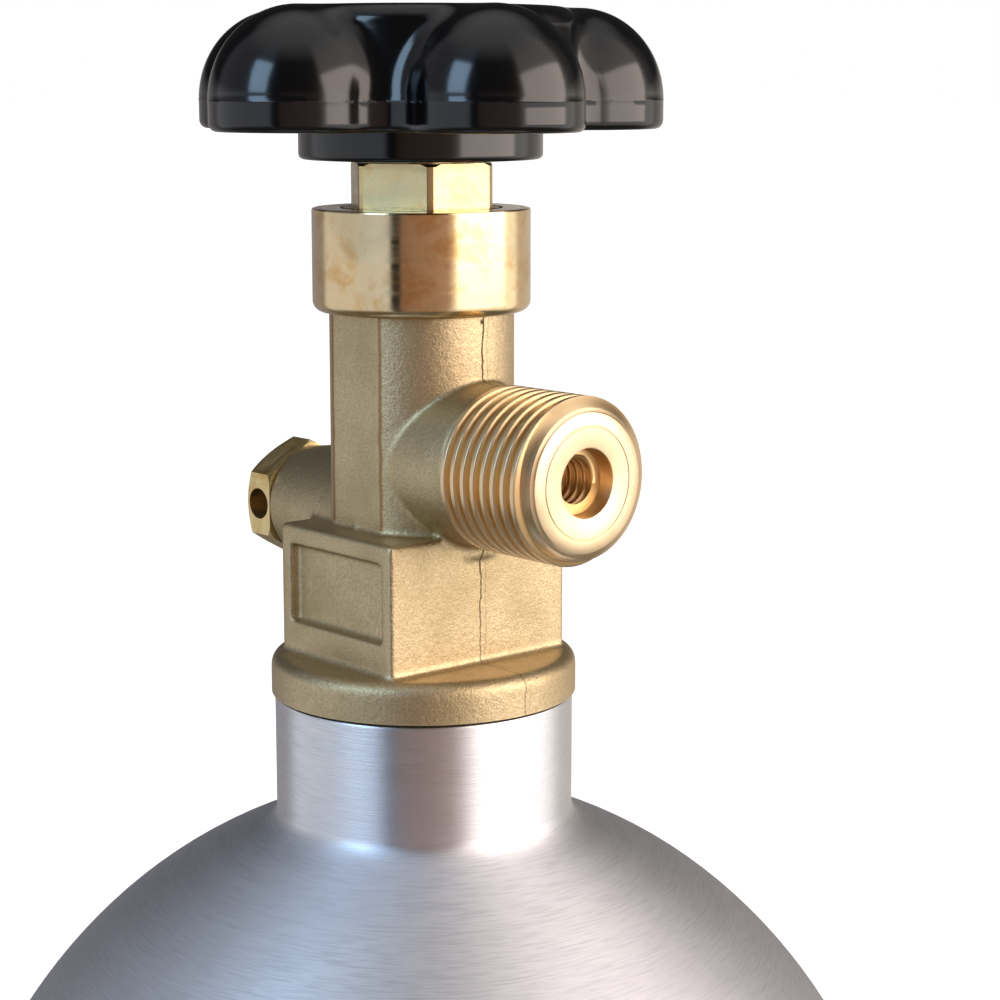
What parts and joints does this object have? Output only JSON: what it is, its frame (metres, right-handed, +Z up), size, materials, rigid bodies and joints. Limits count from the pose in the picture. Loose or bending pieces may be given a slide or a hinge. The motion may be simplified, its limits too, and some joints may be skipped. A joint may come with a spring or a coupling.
{
  "type": "gas cylinder with handwheel valve",
  "caption": "Round aluminium gas cylinder with a forged brass handwheel valve, a threaded side outlet and a vented pressure relief plug.",
  "frame": {"origin": "centre of the cylinder's base, on the surface it stands on", "axes": "+Z up the cylinder and stem axis; -Y out of the valve outlet, +Y out of the pressure relief"},
  "size_m": [0.1333, 0.1334, 0.4627],
  "materials": {
    "brushed_aluminium": "circumferentially brushed, satin",
    "forged_brass": "shot-blasted forging with turned faces and thread",
    "turned_brass": "bright turned",
    "phenolic": "glossy black moulding",
    "zinc_plated_steel": "zinc plated",
    "seal_rubber": "satin moulded",
    "white_polymer": "turned",
    "copper": "rolled sheet"
  },
  "bodies": {
    "cylinder": {"cylinder_shell": "brushed_aluminium", "neck_o_ring": "seal_rubber", "valve_body": "forged_brass", "relief_gasket": "white_polymer", "rupture_disc": "copper", "relief_slip_ring": "turned_brass", "relief_plug": "turned_brass", "gland_gasket": "white_polymer", "gland_nut": "turned_brass"},
    "stem": {"upper_stem": "turned_brass", "thrust_washer": "white_polymer", "stem_o_ring_lower": "seal_rubber", "stem_o_ring_upper": "seal_rubber", "stem_backup_ring": "white_polymer", "handwheel": "phenolic", "wheel_ferrule": "turned_brass", "wheel_washer": "zinc_plated_steel", "wheel_lock_nut": "zinc_plated_steel"},
    "seat": {"seat_plug": "turned_brass", "seat_insert": "white_polymer"}
  },
  "joints": [
    {"name": "wheel_turn", "type": "hinge", "parent": "cylinder", "child": "stem", "pos_m": [0, 0, 0.4476], "axis": [0, 0, 1], "range_deg": [0, 720]},
    {"name": "seat_lift", "type": "slide", "parent": "stem", "child": "seat", "axis": [0, 0, 1], "range_m": [0, 0.003]}
  ],
  "couplings": [
    {"joint": "seat_lift", "follows": "wheel_turn", "m_per_rad": 0.0002387}
  ]
}
